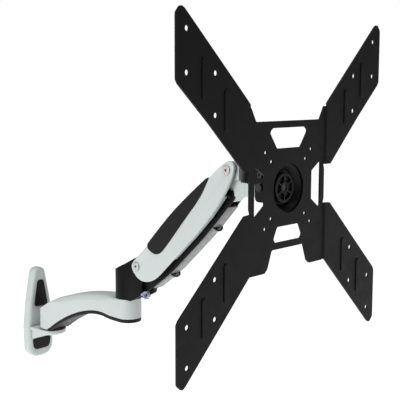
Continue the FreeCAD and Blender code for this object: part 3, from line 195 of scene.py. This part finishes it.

# the second colour of each coated material is the painted shade in its corners and gaps
MATERIALS = {
    "castings": coated("cast_light_paint", LIGHT, LIGHT_PAINTED_SHADE, 1300.0, 0.00006, 0.40, 0.12),
    "light_covers": coated("moulded_light_plastic", LIGHT, LIGHT_PAINTED_SHADE, 2200.0, 0.00003, 0.36, 0.10, 120.0),
    "black_metal": coated("black_powder_coat", BLACK, BLACK_PAINTED_SHADE, 1500.0, 0.00010, 0.46, shine=0.13),
    "black_casting": coated("black_cast_paint", (0.0035, 0.0035, 0.0037), BLACK_PAINTED_SHADE, 1100.0, 0.00009, 0.42,
                            shine=0.10),
    "black_plastic": coated("black_grained_plastic", (0.0095, 0.0095, 0.0098), BLACK_PAINTED_SHADE, 1900.0, 0.00008,
                            0.46, shine=0.16),
    "soft_grip": coated("soft_touch_grip", (0.0105, 0.0105, 0.0108), BLACK_PAINTED_SHADE, 2400.0, 0.00006, 0.52,
                        shine=0.15),
    "frosted_plastic": frosted("frosted_cable_cover", (0.46, 0.47, 0.48), 0.60, 0.36, 0.80),
    "pale_nylon": frosted("translucent_nylon", (0.58, 0.58, 0.82), 0.5, 0.3, 0.9),
    "steel": metal("zinc_plated_steel", (0.63, 0.62, 0.59), 0.3, (1.0, 1.0, 14.0)),
    "black_steel": coated("blackened_steel", (0.0110, 0.0110, 0.0115), BLACK_PAINTED_SHADE, 700.0, 0.00004, 0.34,
                          shine=0.45),
    "bearing": coated("acetal_bearing", (0.52, 0.50, 0.44), (0.2, 0.19, 0.16), 1700.0, 0.00003, 0.45),
}


# ------------------------------------------------------------------ pieces
def repaint(node, slot_name):
    mesh = node.data
    mesh.materials.clear()
    mesh.materials.append(MATERIALS[slot_name])


BARREL_Y = -0.246            # the wide rounding of the first arm ends here, under the elbow's barrel,
CAP_Y = -0.066               # and here, in front of the cap over the wall pivot
BARREL_FADE = 0.05
CAP_FADE = 0.03


def even_edge(middle, normals):
    """Every sharp edge is rounded alike."""
    return 1.0


def arm_1_edge(middle, normals):
    """The first arm's long top edges are widely rounded, less and less towards its two ends."""
    over = max(n.z for n in normals)
    beside = max(abs(n.x) for n in normals)
    faces_down = min(n.z for n in normals) < -0.2
    if over < 0.45 or beside < 0.5 or faces_down:
        return 0.0
    to_barrel = (middle.y - BARREL_Y) / BARREL_FADE
    to_cap = (CAP_Y - middle.y) / CAP_FADE
    return max(0.0, min(1.0, to_barrel, to_cap))


WEIGHING = {"arm_1_casting": arm_1_edge}
FLAT_SHEETS = {"tilt_bracket"}          # folded sheet, whose faces stay flat
SHARP = math.radians(28.0)              # edges sharper than this are rounded
CREASE = math.radians(34.0)             # edges sharper than this stay creases in the shading
FLAT = math.radians(0.6)                # faces closer than this in direction are one face
SAME_PLACE = 2e-6
TOO_SHORT = 1e-6


def softened(name, width, weigh=even_edge, segments=3):
    """Piece made from a CAD node, with the moulded or cast radius that its sharp edges have."""
    node = frame["nodes"][name]
    mesh = node.data.copy()
    mesh.name = name + "_skin"
    bm = bmesh.new()
    bm.from_mesh(mesh)
    bmesh.ops.remove_doubles(bm, verts=bm.verts, dist=SAME_PLACE)
    bmesh.ops.dissolve_degenerate(bm, edges=bm.edges, dist=TOO_SHORT)
    bmesh.ops.dissolve_limit(bm, angle_limit=FLAT, verts=bm.verts, edges=bm.edges)
    weight = bm.edges.layers.float.new("bevel_weight_edge")
    for edge in bm.edges:
        if len(edge.link_faces) == 2 and edge.calc_face_angle() > SHARP:
            middle = (edge.verts[0].co + edge.verts[1].co) / 2
            edge[weight] = weigh(node.matrix_world @ middle, [face.normal for face in edge.link_faces])
    bm.to_mesh(mesh)
    bm.free()
    piece = bpy.data.objects.new(name + "_skin", mesh)
    bpy.context.scene.collection.objects.link(piece)
    bevel = piece.modifiers.new("edge", "BEVEL")
    bevel.width = width
    bevel.segments = segments
    bevel.limit_method = "WEIGHT"
    bevel.miter_outer = "MITER_ARC"
    bevel.use_clamp_overlap = weigh is even_edge
    graph = bpy.context.evaluated_depsgraph_get()
    baked = bpy.data.meshes.new_from_object(piece.evaluated_get(graph))
    piece.modifiers.clear()
    piece.data = baked
    baked.name = name + "_skin"
    for polygon in baked.polygons:
        polygon.use_smooth = name not in FLAT_SHEETS
    baked.set_sharp_from_angle(angle=CREASE)
    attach(piece, node["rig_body"])
    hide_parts(name)
    return piece


SLOT_OF = {entry["node"]: entry["material_slot"] for entry in frame["record"]["subparts"]}

# radius of each skin's edges in millimetres
EDGES = {
    "wall_bracket": 1.4,
    "upper_screw_cover": 0.5,
    "lower_screw_cover": 0.5,
    "arm_1_casting": 10.0,
    "arm_1_cable_cover": 0.9,
    "arm_1_root_cap": 0.6,
    "elbow_block": 1.0,
    "elbow_cable_clip": 0.35,
    "tension_carriage": 0.5,
    "arm_2_channel": 0.6,
    "arm_2_right_cover": 0.5,
    "arm_2_left_cover": 0.5,
    "lower_link": 0.5,
    "cable_cover_front": 0.3,
    "cable_cover_middle": 0.3,
    "cable_cover_rear": 0.3,
    "cable_guide_rings": 0.25,
    "head_bracket": 1.2,
    "swivel_yoke": 0.8,
    "tilt_bracket": 0.6,
    "rotation_knob": 0.35,
    "hub_dish": 0.4,
    "tilt_nut": 0.3,
    "head_post_washer": 0.2,
}

for node_name, edge in EDGES.items():
    piece = softened(node_name, edge * MM, WEIGHING.get(node_name, even_edge))
    repaint(piece, SLOT_OF[node_name])

for node_name, node in frame["nodes"].items():
    if node_name not in EDGES:
        repaint(node, SLOT_OF[node_name])


# ------------------------------------------------------------------ floor, light and camera
def stage_material():
    s = Shader("pale_floor")
    cloud = s.ranged(s.noise(3.0), 0.0, 1.0)
    s.set("Base Color", s.blend(cloud, (0.60, 0.60, 0.60), (0.57, 0.57, 0.57)))
    s.set("Roughness", 0.9)
    s.set("Emission Color", (1.0, 1.0, 1.0))
    s.set("Emission Strength", 0.97)
    return s.material


FLOOR_Z = -0.75
FLOOR_HALF = 30.0
floor_mesh = bpy.data.meshes.new("floor")
FLOOR_CORNERS = [(x * FLOOR_HALF, y * FLOOR_HALF, FLOOR_Z) for x, y in ((-1, -1), (1, -1), (1, 1), (-1, 1))]
floor_mesh.from_pydata(FLOOR_CORNERS, [], [(0, 1, 2, 3)])
floor = bpy.data.objects.new("floor", floor_mesh)
bpy.context.scene.collection.objects.link(floor)
floor_mesh.materials.append(stage_material())

ROOM_LIGHT = 0.12
BACKGROUND_WHITE = 1.0
world = bpy.data.worlds.new("studio")
bpy.context.scene.world = world
world.use_nodes = True
back = world.node_tree.nodes["Background"]
path = world.node_tree.nodes.new("ShaderNodeLightPath")
level = world.node_tree.nodes.new("ShaderNodeMapRange")
level.inputs["To Min"].default_value = ROOM_LIGHT
level.inputs["To Max"].default_value = BACKGROUND_WHITE
world.node_tree.links.new(path.outputs["Is Camera Ray"], level.inputs["Value"])
world.node_tree.links.new(level.outputs["Result"], back.inputs["Strength"])
back.inputs["Color"].default_value = (1.0, 1.0, 1.0, 1.0)


def softbox(name, place, aim, wide, tall, power):
    light = bpy.data.lights.new(name, "AREA")
    light.shape = "RECTANGLE"
    light.size = wide
    light.size_y = tall
    light.energy = power
    lamp = bpy.data.objects.new(name, light)
    bpy.context.scene.collection.objects.link(lamp)
    lamp.location = place
    lamp.rotation_euler = (Vector(aim) - Vector(place)).to_track_quat("-Z", "Y").to_euler()


MIDDLE = (0.0, -0.35, 0.2)
softbox("key_left", (-2.6, 0.1, 1.1), MIDDLE, 1.6, 1.6, 40.0)
softbox("top", (0.0, -0.3, 2.6), MIDDLE, 2.2, 2.2, 34.0)
softbox("front_fill", (0.7, -3.0, 0.8), MIDDLE, 1.6, 1.6, 3.0)

LENS_MM = 77.39
SENSOR_MM = 36.0
EYE = (-0.922, -1.249, 0.401)
PITCH_DOWN = 7.392           # degrees
HEADING = 47.507             # degrees from +Y towards +X
ROLL = 0.08                  # degrees

camera_data = bpy.data.cameras.new("camera")
camera_data.sensor_width = SENSOR_MM
camera_data.lens = LENS_MM
camera_data.clip_start = 0.01
camera_data.clip_end = 100.0
camera = bpy.data.objects.new("camera", camera_data)
bpy.context.scene.collection.objects.link(camera)
camera.location = EYE
turn = math.radians(HEADING)
dip = math.radians(PITCH_DOWN)
ahead = Vector((math.sin(turn) * math.cos(dip), math.cos(turn) * math.cos(dip), -math.sin(dip)))
camera.rotation_mode = "QUATERNION"
spin = Quaternion(Vector((0.0, 0.0, 1.0)), math.radians(ROLL))
camera.rotation_quaternion = ahead.to_track_quat("-Z", "Y") @ spin
bpy.context.scene.camera = camera
bpy.context.scene.view_settings.view_transform = "Standard"
